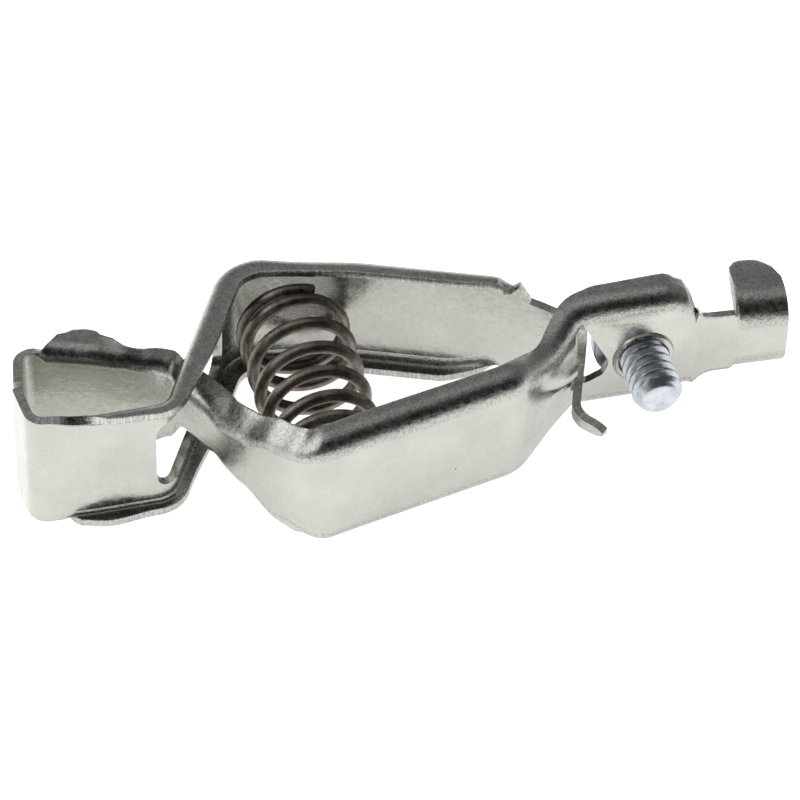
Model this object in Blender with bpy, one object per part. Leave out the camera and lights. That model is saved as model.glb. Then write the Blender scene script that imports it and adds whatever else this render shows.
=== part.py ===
"""Small spring ground clamp: two stamped levers, one compression spring, one terminal screw.

The clamp lies on the lower edges of its strips.  X runs from the jaw tips (-X) to the
wire crimp (+X), Y is the opening direction of the jaws, Z is the width of the strips.
"""
import math

import bmesh
import bpy
from mathutils import Vector

MM = 0.001

# Sheet metal
SHEET = 0.6
BEND_R = 0.6
BARE = 0.12
TURN_STEP = 13.0
MID_Z = 4.9

# Where the drawing origin sits relative to the object origin (mm)
SHIFT_X = -0.725
SHIFT_Y = -1.298

# Slotted lever: corners of its centre line as (x, y, radius of the centre line)
SLOT_PATH = [
    (-26.15, 0.45, 0.0),
    (-25.50, -2.90, 1.1),
    (-21.50, -2.85, 4.0),
    (-16.25, -2.45, 1.6),
    (-10.35, 10.95, 3.5),
    (-1.50, 9.45, 8.0),
    (8.10, 6.55, 1.2),
    (13.70, 4.10, 0.9),
    (12.85, 1.30, 2.5),
    (11.90, -2.10, 1.8),
    (13.65, -3.75, 0.0),
]
# Upper and lower edge heights; a station counts corners passed, plus the part of the next leg
SLOT_TOP = [
    (0.0, 9.8), (5.95, 9.8), (6.2, 9.15), (6.4, 7.6), (6.75, 7.1), (7.1, 6.8), (7.4, 4.6), (7.6, 4.15),
    (9.0, 4.2), (9.7, 4.1), (10.0, 3.8),
]
SLOT_LOW = [
    (0.0, 0.0), (5.6, 0.0), (6.1, 0.85), (6.8, 1.8), (7.15, 2.9), (9.0, 3.0), (9.8, 3.0), (10.0, 3.2),
]
# Length of metal turned over along the upper and the lower edge
SLOT_TURN = [
    (0.0, BARE), (1.2, BARE), (1.8, 0.55), (2.4, 1.15), (3.0, 1.35), (3.5, 1.8), (5.6, 1.9), (6.08, 1.7),
    (6.17, 1.2), (6.22, BARE), (10.0, BARE),
]
SLOT_TURN_LOW = [
    (0.0, BARE), (1.45, BARE), (1.75, 1.2), (2.2, 1.6), (2.8, 1.3), (3.1, 1.3), (3.6, 1.8), (5.6, 1.9),
    (5.85, 1.5), (6.1, BARE), (10.0, BARE),
]
# Radius at the sheet's middle between web and turned edge, and how far the edges are folded (degrees)
SLOT_BEND = [(0.0, 0.6), (4.1, 0.6), (4.6, 0.95), (10.0, 0.95)]
SLOT_FOLD = [(0.0, 90.0), (10.0, 90.0)]
WINDOW_HALF = 3.0
WINDOW_ROUND = 1.1
WINDOW_JAW_END = -17.2
WINDOW_KNEE_END = 8.6

# Necked lever
NECK_PATH = [
    (-26.00, 1.00, 0.0),
    (-25.70, 3.90, 1.1),
    (-22.80, 3.55, 3.0),
    (-20.50, 2.95, 5.0),
    (-15.00, 2.15, 2.2),
    (-12.66, -1.67, 4.0),
    (-7.62, -8.40, 2.8),
    (7.60, -3.82, 3.5),
    (12.81, 2.20, 1.3),
    (21.20, 2.75, 3.0),
    (22.60, 2.65, 2.0),
    (27.90, 2.65, 0.0),
]
NECK_TOP = [
    (0.0, 9.8), (3.2, 9.8), (3.6, 9.25), (3.9, 8.6), (4.08, 7.3), (4.9, 7.4), (5.25, 8.0), (5.6, 9.2),
    (5.85, 9.8), (7.0, 9.8), (7.55, 8.75), (8.2, 9.8), (8.78, 9.8), (8.92, 9.3), (9.05, 8.05), (9.45, 7.5),
    (10.27, 7.45), (10.32, 7.9), (11.0, 7.8),
]
NECK_LOW = [
    (0.0, 0.0), (3.2, 0.0), (3.6, 0.6), (3.9, 1.2), (4.08, 2.5), (4.9, 2.4), (5.25, 1.8), (5.6, 0.7),
    (5.9, 0.0), (7.0, 0.0), (7.6, 0.3), (8.1, 0.0), (8.78, 0.0), (8.95, 0.4), (9.3, 1.5), (10.0, 2.05),
    (10.27, 2.1), (10.32, 1.2), (11.0, 1.3),
]
NECK_TURN = [
    (0.0, BARE), (1.45, BARE), (1.68, 1.1), (1.95, 2.0), (2.3, 2.5), (2.65, 2.6), (2.9, 2.5), (3.15, 2.05),
    (3.38, 1.4), (3.6, 1.5), (3.85, 1.9), (4.3, 2.2), (5.9, 2.2), (6.3, 2.4), (7.0, 2.3), (7.5, 1.85),
    (7.9, 2.15), (8.2, 2.65), (8.78, 2.8), (8.92, 2.5), (9.05, 1.0), (9.16, BARE), (10.27, BARE),
    (10.32, 4.75), (10.38, 5.4), (10.5, 5.6), (10.7, 5.6), (10.88, 5.1), (11.0, 3.7),
]
NECK_TURN_LOW = [
    (0.0, BARE), (1.45, BARE), (1.68, 1.1), (1.95, 2.0), (2.3, 2.5), (2.65, 2.6), (2.9, 2.5), (3.15, 2.05),
    (3.38, 1.4), (3.6, 1.5), (3.85, 1.9), (4.3, 2.2), (4.8, 2.0), (5.1, 0.9), (5.6, 0.9), (5.85, 2.0),
    (6.3, 2.4), (7.0, 2.3), (7.5, 1.85), (7.9, 2.15), (8.2, 2.65), (8.78, 2.8), (8.92, 2.5), (9.05, 1.0),
    (9.16, BARE), (10.27, BARE), (10.32, 4.75), (10.38, 5.4), (10.5, 5.6), (10.7, 5.6), (10.88, 5.1),
    (11.0, 3.7),
]
NECK_BEND = [(0.0, 0.9), (5.8, 0.9), (6.2, 1.25), (8.9, 1.2), (9.6, BEND_R), (10.27, 1.9), (11.0, 1.9)]
NECK_FOLD = [
    (0.0, 90.0), (2.95, 90.0), (3.35, 62.0), (3.55, 62.0), (3.85, 90.0), (4.7, 90.0), (5.2, 48.0),
    (5.85, 48.0), (6.1, 90.0), (11.0, 90.0),
]
NECK_FOLD_LOW = [(0.0, 90.0), (4.7, 90.0), (5.2, 24.0), (5.75, 24.0), (6.1, 90.0), (11.0, 90.0)]

# Hood pressed outward beside the hinge hole, and the hole seen along Y
HOOD_RISE = 0.9
HOOD_Z = 5.9
HOOD_HALF = 1.9
HOOD_START = 7.2
HOOD_FULL = 7.75
HOOD_END = 8.0
HOOD_MARKS = (7.35, 7.65, 7.85)
HOOD_ROWS = (0.0, 0.26, 0.4, 0.55, 0.7, 0.84, 1.0)
HINGE_HOLE = [
    (12.45, 8.2), (13.05, 8.3), (15.05, 4.8), (14.65, 3.5), (13.85, 2.9), (13.45, 2.75), (12.3, 2.75),
    (12.2, 4.4), (12.35, 5.4),
]

# Compression spring
WIRE = 0.9
COIL_R = 3.52
SPRING_BACK = (-6.2, 8.3)
SPRING_FRONT = (-5.5, -4.9)
SPRING_Z = 4.97
CLOSED_PITCH = 0.94
COILS = 6.75
COIL_START = 66.0
COIL_STEPS = 20
WIRE_SIDES = 8

# Terminal screw, 6-32 thread
SCREW_X = 17.4
THREAD_R = 1.75
ROOT_R = 1.36
PITCH = 0.794
BORE_R = 1.95
HEAD_R = 3.15
HEAD_H = 1.9
HEAD_GAP = 0.3
DRIVE_HALF = 0.4
DRIVE_DEPTH = 0.8
TIP_REACH = 4.7
COLLAR_R = 2.3
COLLAR_TOP_R = 2.2
COLLAR_H = 0.55


def clear_scene():
    for obj in list(bpy.data.objects):
        bpy.data.objects.remove(obj, do_unlink=True)


def material(name, color, metallic, roughness):
    mat = bpy.data.materials.new(name)
    mat.use_nodes = True
    shader = mat.node_tree.nodes["Principled BSDF"]
    shader.inputs["Base Color"].default_value = (*color, 1.0)
    shader.inputs["Metallic"].default_value = metallic
    shader.inputs["Roughness"].default_value = roughness
    return mat


def ease(share):
    share = min(1.0, max(0.0, share))
    return share * share * (3.0 - 2.0 * share)


def lookup(table, at):
    """Value of a (station, value) table, eased between its rows."""
    for (a, va), (b, vb) in zip(table, table[1:]):
        if at <= b:
            return va + (vb - va) * ease((at - a) / (b - a))
    return table[-1][1]


def rounded_path(corners, marks, step):
    """Stations (index, point, direction) along a corner list with rounded corners."""
    pts = [Vector((x, y)) for x, y, _ in corners]
    trims = [0.0] * len(pts)
    arcs = {}
    for i in range(1, len(pts) - 1):
        before = (pts[i] - pts[i - 1]).normalized()
        after = (pts[i + 1] - pts[i]).normalized()
        turn = math.atan2(before.cross(after), before.dot(after))
        trims[i] = corners[i][2] * math.tan(abs(turn) / 2.0)
        arcs[i] = (before, after, turn)
    stations = [(0.0, pts[0], (pts[1] - pts[0]).normalized())]
    for i in range(len(pts) - 1):
        along = (pts[i + 1] - pts[i]).normalized()
        length = (pts[i + 1] - pts[i]).length
        start = trims[i]
        end = length - trims[i + 1]
        count = max(1, math.ceil((end - start) / step))
        cuts = {round(start + (end - start) * k / count, 4) for k in range(count + 1)}
        for mark in marks:
            if i <= mark <= i + 1 and start < (mark - i) * length < end:
                cuts.add(round((mark - i) * length, 4))
        for cut in sorted(cuts):
            stations.append((i + cut / length, pts[i] + along * cut, along))
        if i + 1 in arcs:
            before, after, turn = arcs[i + 1]
            radius = corners[i + 1][2]
            sign = 1.0 if turn > 0 else -1.0
            side = Vector((-before.y, before.x)) * sign
            centre = pts[i + 1] - before * trims[i + 1] + side * radius
            next_length = (pts[i + 2] - pts[i + 1]).length
            low = i + 1 - trims[i + 1] / length
            high = i + 1 + trims[i + 1] / next_length
            count = max(2, math.ceil(abs(math.degrees(turn)) / TURN_STEP))
            for k in range(1, count):
                share = k / count
                ang = turn * share
                c, s = math.cos(ang), math.sin(ang)
                arm = -side * radius
                point = centre + Vector((arm.x * c - arm.y * s, arm.x * s + arm.y * c))
                way = Vector((before.x * c - before.y * s, before.x * s + before.y * c))
                stations.append((low + (high - low) * share, point, way))
    clean = [stations[0]]
    for item in stations[1:]:
        if (item[1] - clean[-1][1]).length > 0.03:
            clean.append(item)
    return clean


def turned_edge(at, tables, radius):
    """Centre line of a turned edge, from its sheared end to the web: (inward, along the height, angle)."""
    _, turns, folds = tables
    turn = lookup(turns, at)
    arc = min(turn / radius, math.radians(lookup(folds, at)))
    flat = max(turn - arc * radius, 0.0)
    rise = radius * math.sin(arc) + flat * math.cos(arc)
    points = [(radius * (1 - math.cos(arc)) + flat * math.sin(arc), rise, arc)]
    for k in range(3):
        ang = arc * (1.0 - (k + 0.15) / 3.0)
        points.append((radius * (1 - math.cos(ang)), radius * math.sin(ang), ang))
    return points, SHEET / 2.0 * math.sin(arc)


def strip(name, corners, upper, lower, bends, side, rows, step, lift=None):
    """A closed sheet body following a plan path, with both long edges turned to one side.

    upper and lower are (edge heights, turned lengths, fold angles).
    """
    marks = {s for table in (*upper[:2], *lower[:2]) for s, _ in table}
    outer_rings = []
    inner_rings = []
    for at, point, way in rounded_path(corners, marks, step):
        inward = Vector((-way.y, way.x)) * side
        radius = lookup(bends, at)
        under, low_inset = turned_edge(at, lower, radius)
        over, top_inset = turned_edge(at, upper, radius)
        low = lookup(lower[0], at) + low_inset + under[0][1]
        top = lookup(upper[0], at) - top_inset - over[0][1]
        cross = [(q, low - z, math.cos(a), math.sin(a)) for q, z, a in under]
        for share in rows:
            z = low + (top - low) * share
            cross.append((-lift(at, z) if lift else 0.0, z, 1.0, 0.0))
        cross += [(q, top + z, math.cos(a), -math.sin(a)) for q, z, a in reversed(over)]
        outer = []
        inner = []
        for q, z, nq, nz in cross:
            for ring, sign in ((outer, -0.5), (inner, 0.5)):
                qq = q + sign * SHEET * nq
                zz = z + sign * SHEET * nz
                ring.append((point.x + inward.x * qq, point.y + inward.y * qq, zz))
        outer_rings.append(outer)
        inner_rings.append(inner)
    n = len(outer_rings[0])
    verts = []
    for outer, inner in zip(outer_rings, inner_rings):
        verts += outer + inner[::-1]
    faces = []
    ring = 2 * n
    for i in range(len(outer_rings) - 1):
        for k in range(ring):
            a = i * ring + k
            b = i * ring + (k + 1) % ring
            faces.append((a, b, b + ring, a + ring))
    last = (len(outer_rings) - 1) * ring
    for k in range(n - 1):
        faces.append((k + 1, k, ring - 1 - k, ring - 2 - k))
        faces.append((last + k, last + k + 1, last + ring - 2 - k, last + ring - 1 - k))
    if side < 0:
        faces = [face[::-1] for face in faces]
    return mesh_object(name, verts, faces)


def mesh_object(name, verts, faces):
    """Mesh object from drawing millimetres, placed in metres."""
    mesh = bpy.data.meshes.new(name)
    placed = [((x + SHIFT_X) * MM, (y + SHIFT_Y) * MM, z * MM) for x, y, z in verts]
    mesh.from_pydata(placed, [], faces)
    bm = bmesh.new()
    bm.from_mesh(mesh)
    bmesh.ops.recalc_face_normals(bm, faces=bm.faces)
    if bm.calc_volume(signed=True) < 0.0:
        bmesh.ops.reverse_faces(bm, faces=bm.faces)
    bm.to_mesh(mesh)
    bm.free()
    mesh.update()
    obj = bpy.data.objects.new(name, mesh)
    bpy.context.scene.collection.objects.link(obj)
    return obj


def prism(name, outline, axis, start, end):
    """Closed prism: an outline in two drawing axes, extruded along X or Y."""
    verts = []
    for depth in (start, end):
        for a, b in outline:
            verts.append((a, depth, b) if axis == "Y" else (depth, a, b))
    n = len(outline)
    faces = [tuple(range(n)), tuple(range(2 * n - 1, n - 1, -1))]
    faces += [(k, (k + 1) % n, n + (k + 1) % n, n + k) for k in range(n)]
    return mesh_object(name, verts, faces)


def rounded_box(a0, a1, b0, b1, radius, steps=5):
    outline = []
    spots = ((a1 - radius, b1 - radius, 0), (a0 + radius, b1 - radius, 1), (a0 + radius, b0 + radius, 2),
             (a1 - radius, b0 + radius, 3))
    for ca, cb, quarter in spots:
        for k in range(steps + 1):
            ang = (quarter + k / steps) * math.pi / 2.0
            outline.append((ca + radius * math.cos(ang), cb + radius * math.sin(ang)))
    return outline


def apply_boolean(target, tool, operation):
    """Boolean baked into the target; the tool is removed."""
    mod = target.modifiers.new("cut", "BOOLEAN")
    mod.operation = operation
    mod.solver = "EXACT"
    mod.object = tool
    depsgraph = bpy.context.evaluated_depsgraph_get()
    result = bpy.data.meshes.new_from_object(target.evaluated_get(depsgraph))
    target.modifiers.clear()
    target.data = result
    bpy.data.objects.remove(tool, do_unlink=True)


def lathe(name, outline, centre, axis, segments):
    """Closed turned body: (distance along axis, radius) outline around a horizontal axis."""
    across = Vector((-axis.y, axis.x, 0.0))
    verts = []
    for along, radius in outline:
        for k in range(segments):
            ang = 2 * math.pi * k / segments
            spot = centre + axis * along + across * (radius * math.cos(ang))
            verts.append((spot.x, spot.y, spot.z + radius * math.sin(ang)))
    n = segments
    faces = [tuple(range(n)), tuple(range(len(verts) - 1, len(verts) - n - 1, -1))]
    for i in range(len(outline) - 1):
        for k in range(n):
            a = i * n + k
            b = i * n + (k + 1) % n
            faces.append((a, b, b + n, a + n))
    return mesh_object(name, verts, faces)


def hood_rise(at, z):
    """Outward rise of the hood at a station and height."""
    if at < HOOD_START or at > HOOD_END:
        return 0.0
    grow = ease((at - HOOD_START) / (HOOD_FULL - HOOD_START))
    off = abs(z - HOOD_Z) / HOOD_HALF
    return HOOD_RISE * grow * math.cos(off * math.pi / 2.0) ** 2 if off < 1.0 else 0.0


def build_slotted_lever():
    lever = strip("jaw_lever_slotted", SLOT_PATH, (SLOT_TOP, SLOT_TURN, SLOT_FOLD),
                  (SLOT_LOW, SLOT_TURN_LOW, SLOT_FOLD), SLOT_BEND, -1.0, (0.0, 0.5, 1.0), 2.5)
    low, high = MID_Z - WINDOW_HALF, MID_Z + WINDOW_HALF
    front = prism("tool", rounded_box(WINDOW_JAW_END, -12.5, low, high, WINDOW_ROUND), "Y", -5.0, 1.0)
    apply_boolean(lever, front, "DIFFERENCE")
    back = prism("tool", rounded_box(-2.0, WINDOW_KNEE_END, low, high, WINDOW_ROUND), "X", -17.0, -9.0)
    apply_boolean(lever, back, "DIFFERENCE")
    return lever


def screw_frame():
    """Point on the terminal plate centre line and the direction of the screw tip."""
    x0, y0, _ = NECK_PATH[8]
    x1, y1, _ = NECK_PATH[9]
    along = Vector((x1 - x0, y1 - y0, 0.0)).normalized()
    point = Vector((SCREW_X, y0 + (y1 - y0) * (SCREW_X - x0) / (x1 - x0), MID_Z))
    return point, Vector((along.y, -along.x, 0.0))


def build_necked_lever():
    upper = (sorted(NECK_TOP + [(mark, lookup(NECK_TOP, mark)) for mark in HOOD_MARKS]), NECK_TURN, NECK_FOLD)
    lower = (NECK_LOW, NECK_TURN_LOW, NECK_FOLD_LOW)
    lever = strip("jaw_lever_necked", NECK_PATH, upper, lower, NECK_BEND, 1.0, HOOD_ROWS, 2.5, hood_rise)
    apply_boolean(lever, prism("tool", HINGE_HOLE, "Y", -2.0, 3.6), "DIFFERENCE")
    point, axis = screw_frame()
    half = SHEET / 2.0
    collar = [(0.0, COLLAR_R), (half + 0.15, COLLAR_R), (half + COLLAR_H, COLLAR_TOP_R)]
    apply_boolean(lever, lathe("tool", collar, point, axis, 32), "UNION")
    bore = [(-2.0, BORE_R), (3.0, BORE_R)]
    apply_boolean(lever, lathe("tool", bore, point, axis, 32), "DIFFERENCE")
    return lever


def build_spring():
    """Right-hand round-wire spring with one closed coil at each end."""
    steps = int(COILS * COIL_STEPS)
    reach = SPRING_BACK[1] - SPRING_FRONT[1]
    slope = (SPRING_FRONT[0] - SPRING_BACK[0]) / reach
    open_pitch = (reach - 2 * CLOSED_PITCH) / (COILS - 2.0)
    sides = WIRE_SIDES
    verts = []
    for i in range(steps + 1):
        turns = i / COIL_STEPS
        if turns < 1.0:
            along = CLOSED_PITCH * turns
            pitch = CLOSED_PITCH
        elif turns > COILS - 1.0:
            along = reach - CLOSED_PITCH * (COILS - turns)
            pitch = CLOSED_PITCH
        else:
            along = CLOSED_PITCH + open_pitch * (turns - 1.0)
            pitch = open_pitch
        ang = 2 * math.pi * turns + math.radians(COIL_START)
        radial = Vector((math.cos(ang), 0.0, math.sin(ang)))
        centre = Vector((SPRING_BACK[0] + slope * along, SPRING_BACK[1] - along, SPRING_Z)) + radial * COIL_R
        around = Vector((-math.sin(ang), 0.0, math.cos(ang)))
        way = around * (2 * math.pi * COIL_R) - Vector((0.0, pitch, 0.0))
        normal = way.normalized().cross(radial)
        for k in range(sides):
            a = 2 * math.pi * k / sides
            spot = centre + (radial * math.cos(a) + normal * math.sin(a)) * (WIRE / 2.0)
            verts.append(tuple(spot))
    faces = [tuple(range(sides)), tuple(range(len(verts) - 1, len(verts) - sides - 1, -1))]
    for i in range(steps):
        for k in range(sides):
            a = i * sides + k
            b = i * sides + (k + 1) % sides
            faces.append((a, b, b + sides, a + sides))
    return mesh_object("compression_spring", verts, faces)


def build_screw():
    """Slotted pan-head screw, head on the channel side, threaded shank out through the collar."""
    point, axis = screw_frame()
    across = Vector((-axis.y, axis.x, 0.0))
    half = SHEET / 2.0
    columns = 24
    per_pitch = 5
    start = -half - HEAD_GAP
    end = half + TIP_REACH
    verts = []
    rings = [(start - HEAD_H, HEAD_R * 0.62), (start - HEAD_H * 0.82, HEAD_R * 0.88),
             (start - HEAD_H * 0.4, HEAD_R), (start, HEAD_R), (start, THREAD_R - 0.05)]
    rows = int((end - start) / PITCH * per_pitch)
    shank = [start + 0.1 + (end - start - 0.1) * i / rows for i in range(rows + 1)]
    for along, radius in rings:
        for k in range(columns):
            ang = 2 * math.pi * k / columns
            spot = point + axis * along + across * (radius * math.cos(ang))
            verts.append((spot.x, spot.y, spot.z + radius * math.sin(ang)))
    for along in shank:
        taper = min(1.0, (end - along) / 0.5)
        for k in range(columns):
            ang = 2 * math.pi * k / columns
            phase = (along / PITCH + k / columns) % 1.0
            wave = max(0.0, min(1.0, 2.6 * (0.5 - abs(phase - 0.5)) - 0.15))
            radius = ROOT_R + (THREAD_R - ROOT_R) * wave * taper
            spot = point + axis * along + across * (radius * math.cos(ang))
            verts.append((spot.x, spot.y, spot.z + radius * math.sin(ang)))
    n = columns
    faces = [tuple(range(n)), tuple(range(len(verts) - 1, len(verts) - n - 1, -1))]
    for i in range(len(verts) // n - 1):
        for k in range(n):
            a = i * n + k
            b = i * n + (k + 1) % n
            faces.append((a, b, b + n, a + n))
    screw = mesh_object("terminal_screw", verts, faces)
    back = start - HEAD_H
    slot = []
    reach = HEAD_R + 0.85
    for along in (back - 0.5, back + DRIVE_DEPTH):
        for u, v in ((-DRIVE_HALF, -reach), (DRIVE_HALF, -reach), (DRIVE_HALF, reach), (-DRIVE_HALF, reach)):
            spot = point + axis * along + across * v
            slot.append((spot.x, spot.y, spot.z + u))
    tool = mesh_object("tool", slot, [(0, 1, 2, 3), (7, 6, 5, 4), (0, 1, 5, 4), (1, 2, 6, 5), (2, 3, 7, 6),
                                      (3, 0, 4, 7)])
    apply_boolean(screw, tool, "DIFFERENCE")
    return screw


def smooth(obj, angle):
    obj.data.polygons.foreach_set("use_smooth", [True] * len(obj.data.polygons))
    bm = bmesh.new()
    bm.from_mesh(obj.data)
    for edge in bm.edges:
        edge.smooth = len(edge.link_faces) == 2 and edge.calc_face_angle() < math.radians(angle)
    bm.to_mesh(obj.data)
    bm.free()


def main():
    clear_scene()
    plated = material("plated_steel", (0.62, 0.62, 0.58), 1.0, 0.3)
    wire = material("spring_steel", (0.16, 0.13, 0.11), 1.0, 0.35)
    zinc = material("zinc_steel", (0.5, 0.53, 0.56), 1.0, 0.3)
    parts = (
        (build_slotted_lever(), plated, 35.0),
        (build_necked_lever(), plated, 35.0),
        (build_spring(), wire, 60.0),
        (build_screw(), zinc, 40.0),
    )
    for obj, mat, angle in parts:
        obj.data.materials.clear()
        obj.data.materials.append(mat)
        smooth(obj, angle)


main()
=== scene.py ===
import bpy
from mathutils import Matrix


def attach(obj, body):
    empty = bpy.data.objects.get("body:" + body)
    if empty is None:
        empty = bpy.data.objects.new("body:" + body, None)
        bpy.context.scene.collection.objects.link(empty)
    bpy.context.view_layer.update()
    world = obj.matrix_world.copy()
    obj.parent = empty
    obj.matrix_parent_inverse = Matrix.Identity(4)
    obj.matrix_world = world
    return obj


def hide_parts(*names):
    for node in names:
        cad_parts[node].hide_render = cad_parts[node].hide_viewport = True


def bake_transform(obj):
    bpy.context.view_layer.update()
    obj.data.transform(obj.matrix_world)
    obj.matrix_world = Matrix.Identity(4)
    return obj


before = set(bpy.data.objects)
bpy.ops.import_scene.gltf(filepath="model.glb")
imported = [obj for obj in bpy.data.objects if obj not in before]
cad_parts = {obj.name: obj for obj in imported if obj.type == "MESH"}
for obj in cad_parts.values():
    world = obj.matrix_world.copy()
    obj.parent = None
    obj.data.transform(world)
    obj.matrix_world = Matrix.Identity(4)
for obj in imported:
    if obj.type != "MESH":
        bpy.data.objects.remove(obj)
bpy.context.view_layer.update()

"""Looks of a small spring ground clamp: finished sheet-metal levers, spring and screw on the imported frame.

The levers are drawn in millimetres, as in the design, and placed in metres.  A lever is a strip of sheet that
follows a plan path; a station counts the path's corners passed plus the part of the next leg.
"""
import math

import bmesh
import bpy
from mathutils import Vector

MM = 0.001
# The drawing's origin in the object's frame (mm)
ORIGIN = Vector((-0.725, -1.298, 0.0))

# Sheet metal
SHEET = 0.6
BEND_R = 0.6
BARE = 0.12
MID_Z = 4.9
STEP = 0.45
TURN_STEP = 5.0
ARC_STEPS = 9
FLAT_STEPS = 4
NOSE = 0.09
NOSE_STEPS = 6
ROWS = 22

# Slotted lever: corners of its centre line as (x, y, corner radius)
SLOT_PATH = [
    (-26.15, 0.45, 0.0),
    (-25.50, -2.90, 1.1),
    (-21.50, -2.85, 4.0),
    (-16.25, -2.45, 1.6),
    (-10.35, 10.95, 3.5),
    (-1.50, 9.45, 8.0),
    (8.10, 6.55, 1.2),
    (13.70, 4.10, 0.9),
    (12.85, 1.30, 2.5),
    (11.90, -2.10, 1.8),
    (13.65, -3.75, 0.0),
]
# Upper and lower edge heights; a station counts corners passed, plus the part of the next leg
SLOT_TOP = [
    (0.0, 9.8), (5.95, 9.8), (6.2, 9.15), (6.4, 7.6), (6.75, 7.1), (7.1, 6.8), (7.4, 4.6), (7.6, 4.15),
    (9.0, 4.2), (9.7, 4.1), (10.0, 3.8),
]
SLOT_LOW = [
    (0.0, 0.0), (5.6, 0.0), (6.1, 0.85), (6.8, 1.8), (7.15, 2.9), (9.0, 3.0), (9.8, 3.0), (10.0, 3.2),
]
# Length of metal turned over along the upper and the lower edge
SLOT_TURN = [
    (0.0, BARE), (1.2, BARE), (1.8, 0.55), (2.4, 1.15), (3.0, 1.35), (3.5, 1.8), (5.6, 1.9), (6.08, 1.7),
    (6.17, 1.2), (6.22, BARE), (10.0, BARE),
]
SLOT_TURN_LOW = [
    (0.0, BARE), (1.45, BARE), (1.75, 1.2), (2.2, 1.6), (2.8, 1.3), (3.1, 1.3), (3.6, 1.8), (5.6, 1.9),
    (5.85, 1.5), (6.1, BARE), (10.0, BARE),
]
# Radius at the sheet's middle between web and turned edge, and how far the edges are folded (degrees)
SLOT_BEND = [(0.0, 0.6), (4.1, 0.6), (4.6, 0.95), (10.0, 0.95)]
SLOT_FOLD = [(0.0, 90.0), (10.0, 90.0)]
WINDOW_HALF = 3.0
WINDOW_ROUND = 1.1
WINDOW_JAW_END = -17.2
WINDOW_KNEE_END = 8.6

# Necked lever
NECK_PATH = [
    (-26.00, 1.00, 0.0),
    (-25.70, 3.90, 1.1),
    (-22.80, 3.55, 3.0),
    (-20.50, 2.95, 5.0),
    (-15.00, 2.15, 2.2),
    (-12.66, -1.67, 4.0),
    (-7.62, -8.40, 2.8),
    (7.60, -3.82, 3.5),
    (12.81, 2.20, 1.3),
    (21.20, 2.75, 3.0),
    (22.60, 2.65, 2.0),
    (27.90, 2.65, 0.0),
]
NECK_TOP = [
    (0.0, 9.8), (3.2, 9.8), (3.6, 9.25), (3.9, 8.6), (4.08, 7.3), (4.9, 7.4), (5.25, 8.0), (5.6, 9.2),
    (5.85, 9.8), (7.0, 9.8), (7.55, 8.75), (8.2, 9.8), (8.78, 9.8), (8.92, 9.3), (9.05, 8.05), (9.45, 7.5),
    (10.27, 7.45), (10.32, 7.9), (11.0, 7.8),
]
NECK_LOW = [
    (0.0, 0.0), (3.2, 0.0), (3.6, 0.6), (3.9, 1.2), (4.08, 2.5), (4.9, 2.4), (5.25, 1.8), (5.6, 0.7),
    (5.9, 0.0), (7.0, 0.0), (7.6, 0.3), (8.1, 0.0), (8.78, 0.0), (8.95, 0.4), (9.3, 1.5), (10.0, 2.05),
    (10.27, 2.1), (10.32, 1.2), (11.0, 1.3),
]
NECK_TURN = [
    (0.0, BARE), (1.45, BARE), (1.68, 1.1), (1.95, 2.0), (2.3, 2.5), (2.65, 2.6), (2.9, 2.5), (3.15, 2.05),
    (3.38, 1.4), (3.6, 1.5), (3.85, 1.9), (4.3, 2.2), (5.9, 2.2), (6.3, 2.4), (7.0, 2.3), (7.5, 1.85),
    (7.9, 2.15), (8.2, 2.65), (8.78, 2.8), (8.92, 2.5), (9.05, 1.0), (9.16, BARE), (10.27, BARE),
    (10.32, 4.75), (10.38, 5.4), (10.5, 5.6), (10.7, 5.6), (10.88, 5.1), (11.0, 3.7),
]
NECK_TURN_LOW = [
    (0.0, BARE), (1.45, BARE), (1.68, 1.1), (1.95, 2.0), (2.3, 2.5), (2.65, 2.6), (2.9, 2.5), (3.15, 2.05),
    (3.38, 1.4), (3.6, 1.5), (3.85, 1.9), (4.3, 2.2), (4.8, 2.0), (5.1, 0.9), (5.6, 0.9), (5.85, 2.0),
    (6.3, 2.4), (7.0, 2.3), (7.5, 1.85), (7.9, 2.15), (8.2, 2.65), (8.78, 2.8), (8.92, 2.5), (9.05, 1.0),
    (9.16, BARE), (10.27, BARE), (10.32, 4.75), (10.38, 5.4), (10.5, 5.6), (10.7, 5.6), (10.88, 5.1),
    (11.0, 3.7),
]
NECK_BEND = [(0.0, 0.9), (5.8, 0.9), (6.2, 1.25), (8.9, 1.2), (9.6, BEND_R), (10.27, 1.9), (11.0, 1.9)]
NECK_FOLD = [
    (0.0, 90.0), (2.95, 90.0), (3.35, 62.0), (3.55, 62.0), (3.85, 90.0), (4.7, 90.0), (5.2, 48.0),
    (5.85, 48.0), (6.1, 90.0), (11.0, 90.0),
]
NECK_FOLD_LOW = [(0.0, 90.0), (4.7, 90.0), (5.2, 24.0), (5.75, 24.0), (6.1, 90.0), (11.0, 90.0)]

# Hood pressed outward beside the hinge hole, and the hole seen along Y
HOOD_RISE = 0.9
HOOD_Z = 5.9
HOOD_HALF = 1.9
HOOD_START = 7.2
HOOD_FULL = 7.75
HOOD_END = 8.0
HINGE_HOLE = [
    (12.45, 8.2), (13.05, 8.3), (15.05, 4.8), (14.65, 3.5), (13.85, 2.9), (13.45, 2.75), (12.3, 2.75),
    (12.2, 4.4), (12.35, 5.4),
]

# Compression spring
WIRE = 0.9
COIL_R = 3.52
SPRING_BACK = (-6.2, 8.3)
SPRING_FRONT = (-5.5, -4.9)
SPRING_Z = 4.97
CLOSED_PITCH = 0.94
COILS = 6.75
COIL_START = 66.0
COIL_STEPS = 48
WIRE_SIDES = 16

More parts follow.
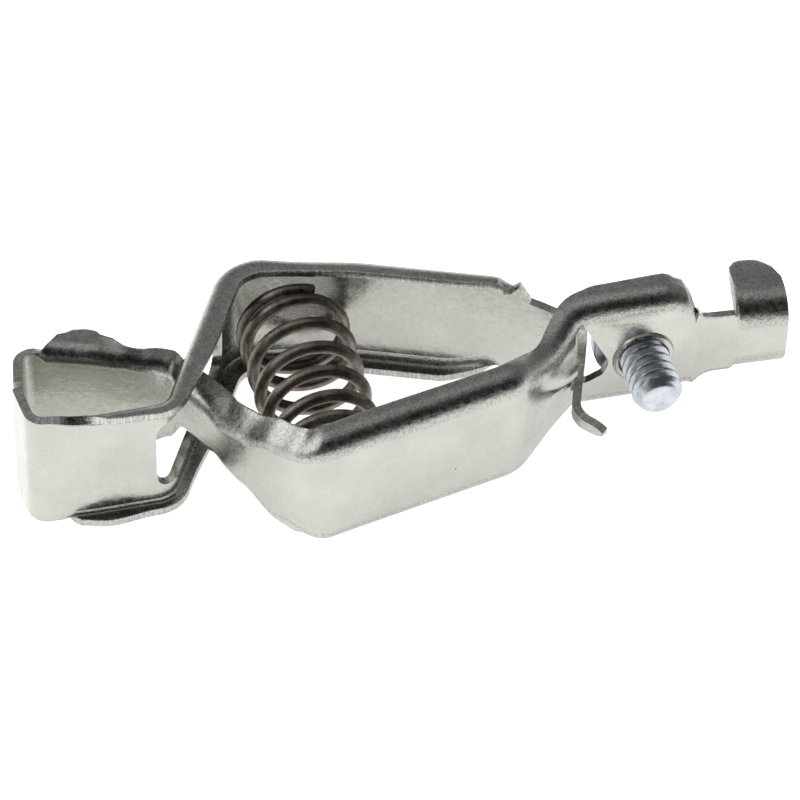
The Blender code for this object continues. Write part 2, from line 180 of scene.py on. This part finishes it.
# Terminal screw, drawn with a 6-32 thread
SCREW_X = 17.4
THREAD_R = 1.75
ROOT_R = 1.33
PITCH = 0.794
BORE_R = 1.82
HEAD_R = 3.15
HEAD_H = 1.9
HEAD_GAP = 0.3
TIP_REACH = 4.7
TIP_R = 1.22
CHAMFER = 0.55
COLLAR_R = 2.12
COLLAR_H = 0.75
MOUND_H = 0.45
MOUND_R = 1.5


def ease(share):
    """Smooth step from 0 to 1."""
    share = min(1.0, max(0.0, share))
    return share * share * (3.0 - 2.0 * share)


def lookup(table, at):
    """Value of a (station, value) table, eased between its rows."""
    for (a, va), (b, vb) in zip(table, table[1:]):
        if at <= b:
            return va + (vb - va) * ease((at - a) / (b - a))
    return table[-1][1]


def rounded_path(corners):
    """Stations (index, point, direction) along a corner list with rounded corners."""
    pts = [Vector((x, y)) for x, y, _ in corners]
    trims = [0.0] * len(pts)
    arcs = {}
    for i in range(1, len(pts) - 1):
        before = (pts[i] - pts[i - 1]).normalized()
        after = (pts[i + 1] - pts[i]).normalized()
        turn = math.atan2(before.cross(after), before.dot(after))
        trims[i] = corners[i][2] * math.tan(abs(turn) / 2.0)
        arcs[i] = (before, after, turn)
    stations = []
    for i in range(len(pts) - 1):
        along = (pts[i + 1] - pts[i]).normalized()
        length = (pts[i + 1] - pts[i]).length
        start = trims[i]
        end = length - trims[i + 1]
        count = max(1, math.ceil((end - start) / STEP))
        for k in range(count + 1):
            cut = start + (end - start) * k / count
            stations.append((i + cut / length, pts[i] + along * cut, along))
        if i + 1 in arcs:
            before, after, turn = arcs[i + 1]
            radius = corners[i + 1][2]
            side = Vector((-before.y, before.x)) * math.copysign(1.0, turn)
            centre = pts[i + 1] - before * trims[i + 1] + side * radius
            low = i + 1 - trims[i + 1] / length
            high = i + 1 + trims[i + 1] / (pts[i + 2] - pts[i + 1]).length
            count = max(2, math.ceil(abs(math.degrees(turn)) / TURN_STEP))
            for k in range(1, count):
                share = k / count
                c, s = math.cos(turn * share), math.sin(turn * share)
                arm = -side * radius
                point = centre + Vector((arm.x * c - arm.y * s, arm.x * s + arm.y * c))
                way = Vector((before.x * c - before.y * s, before.x * s + before.y * c))
                stations.append((low + (high - low) * share, point, way))
    clean = [stations[0]]
    for item in stations[1:]:
        if (item[1] - clean[-1][1]).length > 0.03:
            clean.append(item)
    return clean


def new_object(name, verts, faces):
    """Mesh object from drawing millimetres, placed in metres, faces out."""
    mesh = bpy.data.meshes.new(name)
    mesh.from_pydata([tuple((Vector(v) + ORIGIN) * MM) for v in verts], [], faces)
    bm = bmesh.new()
    bm.from_mesh(mesh)
    bmesh.ops.recalc_face_normals(bm, faces=bm.faces)
    if bm.calc_volume(signed=True) < 0.0:
        bmesh.ops.reverse_faces(bm, faces=bm.faces)
    bm.to_mesh(mesh)
    bm.free()
    obj = bpy.data.objects.new(name, mesh)
    bpy.context.scene.collection.objects.link(obj)
    return obj


def grid_faces(count, ring, closed=True):
    """Quads between consecutive rings of points."""
    faces = []
    for i in range(count - 1):
        for k in range(ring if closed else ring - 1):
            a = i * ring + k
            b = i * ring + (k + 1) % ring
            faces.append((a, b, b + ring, a + ring))
    return faces


def nose(outer, inner):
    """Points that round a sheared edge off between the sheet's two faces."""
    a, b = Vector(outer[0]), Vector(inner[0])
    a_in, b_in = Vector(outer[1]), Vector(inner[1])
    out = ((a - a_in) + (b - b_in)).normalized() * NOSE
    middle = (a + b) / 2.0
    points = []
    for k in range(1, NOSE_STEPS):
        ang = math.pi * k / NOSE_STEPS
        across = (a - middle) * math.copysign(abs(math.cos(ang)) ** 0.5, math.cos(ang))
        points.append(tuple(middle + across + out * math.sin(ang) ** 0.7))
    return points


def turned_edge(at, tables, radius):
    """Centre line of a turned edge, from its sheared end to the web: (inward, along the height, angle)."""
    _, turns, folds = tables
    turn = lookup(turns, at)
    arc = min(turn / radius, math.radians(lookup(folds, at)))
    flat = max(turn - arc * radius, 0.0)
    points = []
    for k in range(FLAT_STEPS):
        left = flat * (1.0 - k / FLAT_STEPS)
        points.append((radius * (1 - math.cos(arc)) + left * math.sin(arc),
                       radius * math.sin(arc) + left * math.cos(arc), arc))
    for k in range(ARC_STEPS):
        ang = arc * (1.0 - k / ARC_STEPS)
        points.append((radius * (1 - math.cos(ang)), radius * math.sin(ang), ang))
    return points, SHEET / 2.0 * math.sin(arc) + NOSE * math.cos(arc)


def strip(name, corners, upper, lower, bends, side, lift=None):
    """A closed sheet body following a plan path, with both long edges turned to one side."""
    rings = []
    lengths = []
    travelled = 0.0
    last_point = None
    for at, point, way in rounded_path(corners):
        travelled += (point - last_point).length if last_point else 0.0
        last_point = point
        lengths.append(travelled)
        inward = Vector((-way.y, way.x)) * side
        radius = lookup(bends, at)
        under, low_inset = turned_edge(at, lower, radius)
        over, top_inset = turned_edge(at, upper, radius)
        low = lookup(lower[0], at) + low_inset + under[0][1]
        top = lookup(upper[0], at) - top_inset - over[0][1]
        cross = [(q, low - z, math.cos(a), math.sin(a)) for q, z, a in under]
        for k in range(ROWS + 1):
            z = low + (top - low) * k / ROWS
            out = lift(at, point, z) if lift else 0.0
            cross.append((-out, z, 1.0, 0.0))
        cross += [(q, top + z, math.cos(a), -math.sin(a)) for q, z, a in reversed(over)]
        outer = []
        inner = []
        for q, z, nq, nz in cross:
            for ring, sign in ((outer, -0.5), (inner, 0.5)):
                qq = q + sign * SHEET * nq
                zz = z + sign * SHEET * nz
                ring.append((point.x + inward.x * qq, point.y + inward.y * qq, zz))
        rings.append(outer + nose(outer[::-1], inner[::-1]) + inner[::-1] + nose(inner, outer))
    n = len(cross)
    ring = len(rings[0])
    verts = [spot for r in rings for spot in r]
    count = len(rings)
    faces = grid_faces(count, ring)
    last = (count - 1) * ring
    side_steps = NOSE_STEPS - 1
    for k in range(n - 1):
        a, b = k, k + 1
        c, d = 2 * n + side_steps - 2 - k, 2 * n + side_steps - 1 - k
        faces.append((b, a, d, c))
        faces.append((last + a, last + b, last + c, last + d))
    for first, end in ((n - 1, n + side_steps), (2 * n + side_steps - 1, ring)):
        loop = [k % ring for k in range(first, end + 1)]
        faces.append(tuple(loop[::-1]))
        faces.append(tuple(last + k for k in loop))
    obj = new_object(name, verts, faces)
    mark_strip(obj, lengths, n, ring)
    return obj


def mark_strip(obj, lengths, n, ring):
    """Plate coordinates in mm (along, across) as a UV map, sheared edges as the second material."""
    mesh = obj.data
    uv = mesh.uv_layers.new(name="plate")
    zone = mesh.attributes.new("formed", "FLOAT", "POINT")
    rim = mesh.attributes.new("rim", "FLOAT", "POINT")
    turned = FLAT_STEPS + ARC_STEPS
    start = n + NOSE_STEPS - 1

    def row(k):
        if k < n:
            return k
        if k < start:
            return n - 1
        return max(2 * n + NOSE_STEPS - 2 - k, 0)

    for i, item in enumerate(zone.data):
        across = row(i % ring)
        from_edge = min(across, n - 1 - across)
        item.value = 1.0 if from_edge < turned else 0.0
        rim.data[i].value = max(0.0, 1.0 - from_edge / 3.0)
    for poly in mesh.polygons:
        spots = [v % ring for v in poly.vertices]
        edge = all(n - 1 <= k <= start or k >= ring - NOSE_STEPS or k == 0 for k in spots)
        ends = len(set(v // ring for v in poly.vertices)) == 1
        poly.material_index = 1 if edge or ends else 0
        for loop in poly.loop_indices:
            v = mesh.loops[loop].vertex_index
            uv.data[loop].uv = (lengths[v // ring], row(v % ring) * 0.3)


def cut(target, tool, operation="DIFFERENCE"):
    """Boolean baked into the target; walls cut by the tool take the tool's material index."""
    mod = target.modifiers.new("cut", "BOOLEAN")
    mod.operation = operation
    mod.solver = "EXACT"
    mod.object = tool
    depsgraph = bpy.context.evaluated_depsgraph_get()
    result = bpy.data.meshes.new_from_object(target.evaluated_get(depsgraph))
    target.modifiers.clear()
    target.data = result
    bpy.data.objects.remove(tool, do_unlink=True)


def prism(outline, axis, start, end):
    """Cutter: an outline in two drawing axes, extruded along X or Y."""
    verts = []
    for depth in (start, end):
        for a, b in outline:
            verts.append((a, depth, b) if axis == "Y" else (depth, a, b))
    n = len(outline)
    faces = [tuple(range(n)), tuple(range(2 * n - 1, n - 1, -1))] + grid_faces(2, n)
    return edge_tool(new_object("tool", verts, faces))


def edge_tool(tool):
    """Give a cutter the sheared-edge material, which the faces it cuts take over."""
    for poly in tool.data.polygons:
        poly.material_index = 1
    return tool


def rounded_outline(points, radius, steps=6):
    """Outline with every corner rounded."""
    result = []
    count = len(points)
    for i, spot in enumerate(points):
        here = Vector(spot)
        before = (Vector(points[i - 1]) - here)
        after = (Vector(points[(i + 1) % count]) - here)
        trim = min(radius, before.length * 0.45, after.length * 0.45)
        a = here + before.normalized() * trim
        b = here + after.normalized() * trim
        for k in range(steps + 1):
            t = k / steps
            result.append(tuple(a * (1 - t) ** 2 + here * 2 * t * (1 - t) + b * t * t))
    return result


def box_outline(a0, a1, b0, b1):
    """Rounded rectangle for the window's cutters."""
    return rounded_outline([(a0, b0), (a1, b0), (a1, b1), (a0, b1)], WINDOW_ROUND * 1.2)


def lathe(outline, centre, axis, segments):
    """Closed turned body from (along, radius) points about a horizontal axis."""
    across = Vector((-axis.y, axis.x, 0.0))
    verts = []
    for along, radius in outline:
        for k in range(segments):
            ang = 2 * math.pi * k / segments
            spot = centre + axis * along + across * (radius * math.cos(ang))
            verts.append((spot.x, spot.y, spot.z + radius * math.sin(ang)))
    n = segments
    faces = [tuple(range(n)), tuple(range(len(verts) - 1, len(verts) - n - 1, -1))]
    return new_object("tool", verts, faces + grid_faces(len(outline), n))


def screw_frame():
    """Point on the terminal plate's centre line and the direction of the screw tip."""
    x0, y0, _ = NECK_PATH[8]
    x1, y1, _ = NECK_PATH[9]
    along = Vector((x1 - x0, y1 - y0, 0.0)).normalized()
    point = Vector((SCREW_X, y0 + (y1 - y0) * (SCREW_X - x0) / (x1 - x0), MID_Z))
    return point, Vector((along.y, -along.x, 0.0))


def neck_lift(at, point, z):
    """How far the necked lever's web is pressed outward: the hood and the mound round the screw."""
    out = 0.0
    off = abs(z - HOOD_Z) / HOOD_HALF
    if HOOD_START < at < HOOD_END and off < 1.0:
        grow = ease((at - HOOD_START) / (HOOD_FULL - HOOD_START))
        out = HOOD_RISE * grow * math.cos(off * math.pi / 2.0) ** 2
    centre, _ = screw_frame()
    if at > HOOD_END:
        radius = math.hypot(point.x - centre.x, z - centre.z)
        past = max(0.0, radius - BORE_R) / MOUND_R
        out += MOUND_H * math.exp(-past * past)
    return out


def build_slotted_lever():
    """Slotted lever, with its window cut once through the jaw's wall and once through the leg's."""
    lever = strip("slotted_lever_plate", SLOT_PATH, (SLOT_TOP, SLOT_TURN, SLOT_FOLD),
                  (SLOT_LOW, SLOT_TURN_LOW, SLOT_FOLD), SLOT_BEND, -1.0)
    low, high = MID_Z - WINDOW_HALF, MID_Z + WINDOW_HALF
    jaw_x, jaw_reach = -12.5, (-5.0, 1.0)
    knee_y, knee_reach = -2.0, (-17.0, -9.0)
    cut(lever, prism(box_outline(WINDOW_JAW_END, jaw_x, low, high), "Y", *jaw_reach))
    cut(lever, prism(box_outline(knee_y, WINDOW_KNEE_END, low, high), "X", *knee_reach))
    return lever


def build_necked_lever():
    """Necked lever, with its hinge hole, raised collar and screw hole."""
    lever = strip("necked_lever_plate", NECK_PATH, (NECK_TOP, NECK_TURN, NECK_FOLD),
                  (NECK_LOW, NECK_TURN_LOW, NECK_FOLD_LOW), NECK_BEND, 1.0, neck_lift)
    cut(lever, prism(rounded_outline(HINGE_HOLE, 0.25, 3), "Y", -2.0, 3.6))
    point, axis = screw_frame()
    half = SHEET / 2.0
    lip = [(0.0, COLLAR_R + 0.1), (half + MOUND_H, COLLAR_R + 0.1), (half + COLLAR_H - 0.06, COLLAR_R),
           (half + COLLAR_H, COLLAR_R - 0.07)]
    cut(lever, lathe(lip, point, axis, 64), "UNION")
    cut(lever, edge_tool(lathe([(-2.0, BORE_R), (3.0, BORE_R)], point, axis, 64)))
    return lever


def build_spring():
    """Right-hand round-wire spring with one closed coil at each end."""
    steps = int(COILS * COIL_STEPS)
    reach = SPRING_BACK[1] - SPRING_FRONT[1]
    slope = (SPRING_FRONT[0] - SPRING_BACK[0]) / reach
    open_pitch = (reach - 2 * CLOSED_PITCH) / (COILS - 2.0)
    verts = []
    for i in range(steps + 1):
        turns = i / COIL_STEPS
        if turns < 1.0:
            along, pitch = CLOSED_PITCH * turns, CLOSED_PITCH
        elif turns > COILS - 1.0:
            along, pitch = reach - CLOSED_PITCH * (COILS - turns), CLOSED_PITCH
        else:
            along, pitch = CLOSED_PITCH + open_pitch * (turns - 1.0), open_pitch
        ang = 2 * math.pi * turns + math.radians(COIL_START)
        radial = Vector((math.cos(ang), 0.0, math.sin(ang)))
        centre = Vector((SPRING_BACK[0] + slope * along, SPRING_BACK[1] - along, SPRING_Z)) + radial * COIL_R
        around = Vector((-math.sin(ang), 0.0, math.cos(ang)))
        way = around * (2 * math.pi * COIL_R) - Vector((0.0, pitch, 0.0))
        normal = way.normalized().cross(radial)
        for k in range(WIRE_SIDES):
            a = 2 * math.pi * k / WIRE_SIDES
            verts.append(tuple(centre + (radial * math.cos(a) + normal * math.sin(a)) * (WIRE / 2.0)))
    n = WIRE_SIDES
    faces = [tuple(range(n)), tuple(range(len(verts) - 1, len(verts) - n - 1, -1))]
    obj = new_object("spring_wire", verts, faces + grid_faces(steps + 1, n))
    uv = obj.data.uv_layers.new(name="wire")
    for loop in obj.data.loops:
        ring, k = divmod(loop.vertex_index, n)
        side = abs(k - n / 2) / n * 2 * math.pi * WIRE
        uv.data[loop.index].uv = (ring * 2 * math.pi * COIL_R / COIL_STEPS, side)
    return obj


def thread_radius(along, turn, end):
    """Surface radius of the threaded shank at a distance along it and a turn round it."""
    phase = (along / PITCH - turn) % 1.0
    wave = 1.0 - abs(phase - 0.5) * 2.0
    wave = ease((wave - 0.08) / 0.8)
    radius = ROOT_R + (THREAD_R - ROOT_R) * wave
    past = (along - (end - CHAMFER)) / CHAMFER
    limit = THREAD_R - (THREAD_R - TIP_R) * max(0.0, past)
    return min(radius, limit)


def build_screw():
    """Slotted pan-head screw with a chamfered tip."""
    point, axis = screw_frame()
    across = Vector((-axis.y, axis.x, 0.0))
    columns = 72
    start = -SHEET / 2.0 - HEAD_GAP
    end = SHEET / 2.0 + TIP_REACH
    crown = []
    crown_steps = 8
    for k in range(crown_steps + 1):
        ang = math.pi / 2.0 * k / crown_steps
        along = start - HEAD_H + HEAD_H * 0.55 * (1 - math.sin(ang))
        crown.append((along, HEAD_R * (0.5 + 0.5 * math.cos(ang))))
    crown = crown[::-1]
    crown = [(start - HEAD_H, HEAD_R * 0.2)] + crown + [(start - 0.08, HEAD_R), (start, HEAD_R - 0.08)]
    crown += [(start, THREAD_R + 0.25), (start + 0.12, THREAD_R + 0.02)]
    rows = int((end - start) / PITCH * 16)
    shank = [start + 0.15 + (end - start - 0.15) * i / rows for i in range(rows + 1)]
    verts = []

    def add_ring(along, radius_of):
        for k in range(columns):
            ang = 2 * math.pi * k / columns
            radius = radius_of(k / columns)
            spot = point + axis * along + across * (radius * math.cos(ang))
            verts.append((spot.x, spot.y, spot.z + radius * math.sin(ang)))

    for along, radius in crown:
        add_ring(along, lambda turn, radius=radius: radius)
    for along in shank:
        add_ring(along, lambda turn, along=along: thread_radius(along, turn, end))
    add_ring(end + 0.06, lambda turn: TIP_R * 0.86)
    n = columns
    faces = [tuple(range(n)), tuple(range(len(verts) - 1, len(verts) - n - 1, -1))]
    screw = new_object("screw_body", verts, faces + grid_faces(len(verts) // n, n))
    back = start - HEAD_H
    slot_half, slot_deep, slot_reach = 0.4, 0.8, 4.0
    slot = []
    for along in (back - 0.5, back + slot_deep):
        for u, v in ((-slot_half, -slot_reach), (slot_half, -slot_reach), (slot_half, slot_reach),
                     (-slot_half, slot_reach)):
            spot = point + axis * along + across * v
            slot.append((spot.x, spot.y, spot.z + u))
    tool = new_object("tool", slot, [(0, 1, 2, 3), (7, 6, 5, 4), (0, 1, 5, 4), (1, 2, 6, 5), (2, 3, 7, 6),
                                     (3, 0, 4, 7)])
    cut(screw, tool)
    return screw


class Nodes:
    """Short way to write a node tree."""

    def __init__(self, name):
        self.material = bpy.data.materials.new(name)
        self.material.use_nodes = True
        self.tree = self.material.node_tree
        self.shader = self.tree.nodes["Principled BSDF"]

    def add(self, kind, inputs=None, **settings):
        node = self.tree.nodes.new(kind)
        for key, value in settings.items():
            setattr(node, key, value)
        for key, value in (inputs or {}).items():
            if isinstance(value, bpy.types.NodeSocket):
                self.tree.links.new(value, node.inputs[key])
            else:
                node.inputs[key].default_value = value
        return node

    def mapped(self, source, scale):
        return self.add("ShaderNodeMapping", {"Vector": source, "Scale": scale}).outputs["Vector"]

    def noise(self, vector, scale, detail=3.0, rough=0.5):
        inputs = {"Vector": vector, "Scale": scale, "Detail": detail, "Roughness": rough}
        return self.add("ShaderNodeTexNoise", inputs).outputs["Fac"]

    def ramp(self, value, low, high, start=0.0, end=1.0):
        inputs = {"Value": value, "From Min": low, "From Max": high, "To Min": start, "To Max": end}
        return self.add("ShaderNodeMapRange", inputs).outputs["Result"]

    def mix(self, factor, a, b):
        node = self.add("ShaderNodeMix", data_type="RGBA")
        for key, value in ((0, factor), (6, a), (7, b)):
            if isinstance(value, bpy.types.NodeSocket):
                self.tree.links.new(value, node.inputs[key])
            else:
                node.inputs[key].default_value = value
        return node.outputs[2]

    def math(self, operation, a, b):
        node = self.add("ShaderNodeMath", operation=operation)
        for key, value in ((0, a), (1, b)):
            if isinstance(value, bpy.types.NodeSocket):
                self.tree.links.new(value, node.inputs[key])
            else:
                node.inputs[key].default_value = value
        return node.outputs[0]

    def bump(self, height, distance, strength, normal=None):
        inputs = {"Height": height, "Distance": distance, "Strength": strength}
        if normal is not None:
            inputs["Normal"] = normal
        return self.add("ShaderNodeBump", inputs).outputs["Normal"]

    def set(self, name, value):
        if isinstance(value, bpy.types.NodeSocket):
            self.tree.links.new(value, self.shader.inputs[name])
        else:
            self.shader.inputs[name].default_value = value


def plated_steel():
    """Bright plating: faint warm stains, tiny pits, draw lines, a grainy skin where the sheet was formed."""
    n = Nodes("plated_steel")
    place = n.add("ShaderNodeTexCoord").outputs["Object"]
    plate = n.add("ShaderNodeUVMap", uv_map="plate").outputs["UV"]
    formed = n.add("ShaderNodeAttribute", attribute_name="formed").outputs["Fac"]
    rim = n.add("ShaderNodeAttribute", attribute_name="rim").outputs["Fac"]
    clouds = n.noise(place, 260.0, 4.0, 0.6)
    stains = n.noise(place, 420.0, 6.0, 0.65)
    grain = n.noise(place, 6500.0, 2.0, 0.7)
    fine = n.noise(place, 2600.0, 4.0, 0.6)
    streaks = n.noise(n.mapped(plate, (5.5, 0.5, 1.0)), 1.0, 4.0, 0.7)
    draw = n.noise(n.mapped(plate, (0.35, 9.0, 1.0)), 1.0, 3.0, 0.6)
    pits = n.add("ShaderNodeTexVoronoi", {"Vector": place, "Scale": 380.0}).outputs["Distance"]
    pit = n.ramp(pits, 0.02, 0.035, 0.8, 0.0)
    base = n.mix(n.ramp(clouds, 0.35, 0.65), (0.435, 0.435, 0.402, 1.0), (0.49, 0.487, 0.445, 1.0))
    base = n.mix(n.ramp(stains, 0.60, 0.74, 0.0, 0.55), base, (0.43, 0.39, 0.30, 1.0))
    dark_grain = n.math("MULTIPLY", formed, n.ramp(grain, 0.42, 0.62, 0.0, 0.6))
    base = n.mix(dark_grain, base, (0.19, 0.19, 0.195, 1.0))
    light_grain = n.math("MULTIPLY", formed, n.ramp(fine, 0.54, 0.68, 0.0, 0.35))
    base = n.mix(light_grain, base, (0.60, 0.60, 0.59, 1.0))
    marks = n.math("MULTIPLY", rim, n.ramp(streaks, 0.50, 0.60, 0.0, 0.45))
    base = n.mix(marks, base, (0.75, 0.75, 0.75, 1.0))
    base = n.mix(pit, base, (0.10, 0.095, 0.09, 1.0))
    n.set("Base Color", base)
    n.set("Metallic", 1.0)
    rough = n.math("ADD", n.ramp(fine, 0.3, 0.7, 0.17, 0.32), n.math("MULTIPLY", formed, 0.05))
    n.set("Roughness", rough)
    skin = n.math("ADD", n.math("MULTIPLY", formed, 1.2), 0.3)
    normal = n.bump(n.math("MULTIPLY", n.math("ADD", grain, fine), skin), 0.00003, 0.45)
    tooled = n.math("ADD", rim, n.math("MULTIPLY", formed, 0.15))
    normal = n.bump(n.math("MULTIPLY", streaks, tooled), 0.00006, 0.4, normal)
    normal = n.bump(draw, 0.00003, 0.12, normal)
    normal = n.bump(clouds, 0.00025, 0.3, normal)
    n.set("Normal", normal)
    return n.material


def sheared_steel():
    """The cut edges of the sheet: duller, with torn vertical lines."""
    n = Nodes("sheared_steel")
    place = n.add("ShaderNodeTexCoord").outputs["Object"]
    tear = n.noise(n.mapped(place, (1.0, 1.0, 0.35)), 5200.0, 4.0, 0.7)
    patches = n.noise(place, 900.0, 3.0, 0.5)
    n.set("Base Color", n.mix(n.ramp(patches, 0.4, 0.62), (0.16, 0.16, 0.155, 1.0), (0.50, 0.50, 0.49, 1.0)))
    n.set("Metallic", 1.0)
    n.set("Roughness", n.ramp(tear, 0.3, 0.7, 0.26, 0.5))
    n.set("Normal", n.bump(tear, 0.00005, 0.6))
    return n.material


def spring_steel():
    """Dark drawn wire with lengthwise lines and a brown oxide."""
    n = Nodes("spring_wire_steel")
    wire = n.add("ShaderNodeUVMap", uv_map="wire").outputs["UV"]
    place = n.add("ShaderNodeTexCoord").outputs["Object"]
    lines = n.noise(n.mapped(wire, (0.5, 11.0, 1.0)), 1.0, 4.0, 0.7)
    specks = n.noise(place, 6000.0, 3.0, 0.6)
    patches = n.noise(place, 700.0, 4.0, 0.6)
    dark = (0.10, 0.089, 0.075, 1.0)
    light = (0.28, 0.25, 0.21, 1.0)
    base = n.mix(n.ramp(patches, 0.38, 0.64), dark, light)
    base = n.mix(n.ramp(lines, 0.45, 0.75, 0.0, 0.5), base, (0.34, 0.315, 0.275, 1.0))
    n.set("Base Color", base)
    n.set("Metallic", 1.0)
    n.set("Roughness", n.ramp(specks, 0.3, 0.7, 0.24, 0.40))
    n.set("Normal", n.bump(n.math("ADD", lines, n.math("MULTIPLY", specks, 0.5)), 0.00004, 0.5))
    return n.material


def zinc_steel():
    """Bluish zinc plate with small matt blotches."""
    n = Nodes("zinc_plate")
    place = n.add("ShaderNodeTexCoord").outputs["Object"]
    patches = n.noise(place, 1100.0, 5.0, 0.65)
    grain = n.noise(place, 6500.0, 3.0, 0.6)
    base = n.mix(n.ramp(patches, 0.36, 0.66), (0.40, 0.42, 0.445, 1.0), (0.60, 0.63, 0.66, 1.0))
    n.set("Base Color", base)
    n.set("Metallic", 1.0)
    n.set("Roughness", n.ramp(patches, 0.3, 0.7, 0.26, 0.44))
    n.set("Normal", n.bump(grain, 0.00004, 0.5))
    return n.material


def shade(obj, angle, *materials):
    """Smooth shading with creases above an angle in degrees, and the piece's materials."""
    obj.data.materials.clear()
    for material in materials:
        obj.data.materials.append(material)
    mesh = obj.data
    mesh.polygons.foreach_set("use_smooth", [True] * len(mesh.polygons))
    mesh.set_sharp_from_angle(angle=math.radians(angle))


def make_pieces():
    """Build the four pieces and put them in place of their CAD nodes; the levers and the screw each ride
    their body, the spring stays where it is built.
    """
    plated, sheared, wire, zinc = plated_steel(), sheared_steel(), spring_steel(), zinc_steel()
    slotted = build_slotted_lever()
    necked = build_necked_lever()
    for lever in (slotted, necked):
        shade(lever, 40.0, plated, sheared)
    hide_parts("jaw_lever_slotted")
    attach(slotted, "slotted_side")
    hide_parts("jaw_lever_necked")
    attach(necked, "necked_side")
    spring = build_spring()
    shade(spring, 60.0, wire)
    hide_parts("compression_spring")
    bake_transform(spring)
    screw = build_screw()
    shade(screw, 30.0, zinc)
    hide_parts("terminal_screw")
    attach(screw, "screw")


def make_stage():
    """Pale floor, dark room, soft boxes above."""
    bpy.ops.mesh.primitive_plane_add(size=4.0, location=(0.0, 0.0, 0.0))
    floor = bpy.context.object
    floor.name = "floor"
    n = Nodes("floor_card")
    place = n.add("ShaderNodeTexCoord").outputs["Object"]
    n.set("Base Color", n.mix(n.noise(place, 30.0), (0.90, 0.90, 0.90, 1.0), (0.93, 0.93, 0.93, 1.0)))
    n.set("Roughness", 0.9)
    n.set("Emission Color", (1.0, 1.0, 1.0, 1.0))
    n.set("Emission Strength", 0.86)
    floor.data.materials.append(n.material)
    make_room()


def make_room():
    """A pale wall low down, a grey room above it, dark behind the camera and brighter overhead."""
    world = bpy.data.worlds.new("room")
    bpy.context.scene.world = world
    world.use_nodes = True
    tree = world.node_tree
    coords = tree.nodes.new("ShaderNodeTexCoord")

    def facing(direction, low, high):
        dot = tree.nodes.new("ShaderNodeVectorMath")
        dot.operation = "DOT_PRODUCT"
        tree.links.new(coords.outputs["Generated"], dot.inputs[0])
        dot.inputs[1].default_value = Vector(direction).normalized()
        ramp = tree.nodes.new("ShaderNodeMapRange")
        ramp.interpolation_type = "SMOOTHSTEP"
        tree.links.new(dot.outputs["Value"], ramp.inputs["Value"])
        ramp.inputs["From Min"].default_value = low
        ramp.inputs["From Max"].default_value = high
        return ramp.outputs["Result"]

    colour = (0.24, 0.24, 0.245, 1.0)
    for direction, low, high, tone in (
        ((0.0, -1.0, 0.0), -0.05, 0.35, (0.012, 0.012, 0.014, 1.0)),
        ((0.0, 0.1, 1.0), 0.86, 0.99, (0.60, 0.60, 0.61, 1.0)),
        ((0.0, 1.0, 0.0), 0.88, 1.0, (0.90, 0.90, 0.90, 1.0)),
        ((-1.0, 0.1, 0.55), 0.74, 0.94, (1.90, 1.90, 1.92, 1.0)),
        ((0.0, 0.0, -1.0), -0.20, -0.10, (0.92, 0.92, 0.92, 1.0)),
    ):
        mix = tree.nodes.new("ShaderNodeMix")
        mix.data_type = "RGBA"
        tree.links.new(facing(direction, low, high), mix.inputs[0])
        if isinstance(colour, tuple):
            mix.inputs[6].default_value = colour
        else:
            tree.links.new(colour, mix.inputs[6])
        mix.inputs[7].default_value = tone
        colour = mix.outputs[2]
    tree.links.new(colour, tree.nodes["Background"].inputs[0])
    sun = bpy.data.lights.new("overhead", "SUN")
    sun.energy = 0.5
    sun.angle = math.radians(75.0)
    lamp = bpy.data.objects.new("overhead", sun)
    lamp.visible_glossy = False
    lamp.rotation_euler = (math.radians(-10.0), math.radians(8.0), 0.0)
    bpy.context.scene.collection.objects.link(lamp)
    for name, spot, size, power in (
        ("left_box", (-0.55, 0.05, 0.42), 0.30, 0.8),
        ("right_box", (0.60, 0.10, 0.45), 0.25, 0.6),
    ):
        light = bpy.data.lights.new(name, "AREA")
        light.shape = "DISK"
        light.size = size
        light.energy = power
        lamp = bpy.data.objects.new(name, light)
        lamp.visible_glossy = False
        bpy.context.scene.collection.objects.link(lamp)
        lamp.location = spot
        lamp.rotation_euler = (Vector((0.0, 0.0, 0.0)) - Vector(spot)).to_track_quat("-Z", "Y").to_euler()
    bpy.context.scene.view_settings.view_transform = "Standard"


def make_camera():
    """Camera at 45 degrees above the bench, 11.5 degrees round from the front."""
    elevation, azimuth, roll = math.radians(45.0), math.radians(11.5), math.radians(2.0)
    distance = 0.300
    view_width = 0.0548
    sensor = 36.0
    forward = Vector((math.sin(azimuth) * math.cos(elevation), math.cos(azimuth) * math.cos(elevation),
                      -math.sin(elevation)))
    right = Vector((math.cos(azimuth), -math.sin(azimuth), 0.0))
    up = right.cross(forward)
    turned_right = right * math.cos(roll) + up * math.sin(roll)
    turned_up = up * math.cos(roll) - right * math.sin(roll)
    target = (ORIGIN + Vector((0.0, 0.0, 5.0))) * MM
    camera = bpy.data.cameras.new("camera")
    camera.sensor_width = sensor
    camera.lens = sensor * distance / view_width
    camera.clip_start = 0.01
    obj = bpy.data.objects.new("camera", camera)
    bpy.context.scene.collection.objects.link(obj)
    spot = target - forward * distance
    matrix = obj.matrix_world.copy()
    for row in range(3):
        matrix[row][0] = turned_right[row]
        matrix[row][1] = turned_up[row]
        matrix[row][2] = -forward[row]
        matrix[row][3] = spot[row]
    obj.matrix_world = matrix
    bpy.context.scene.camera = obj


make_camera()
make_stage()
make_pieces()
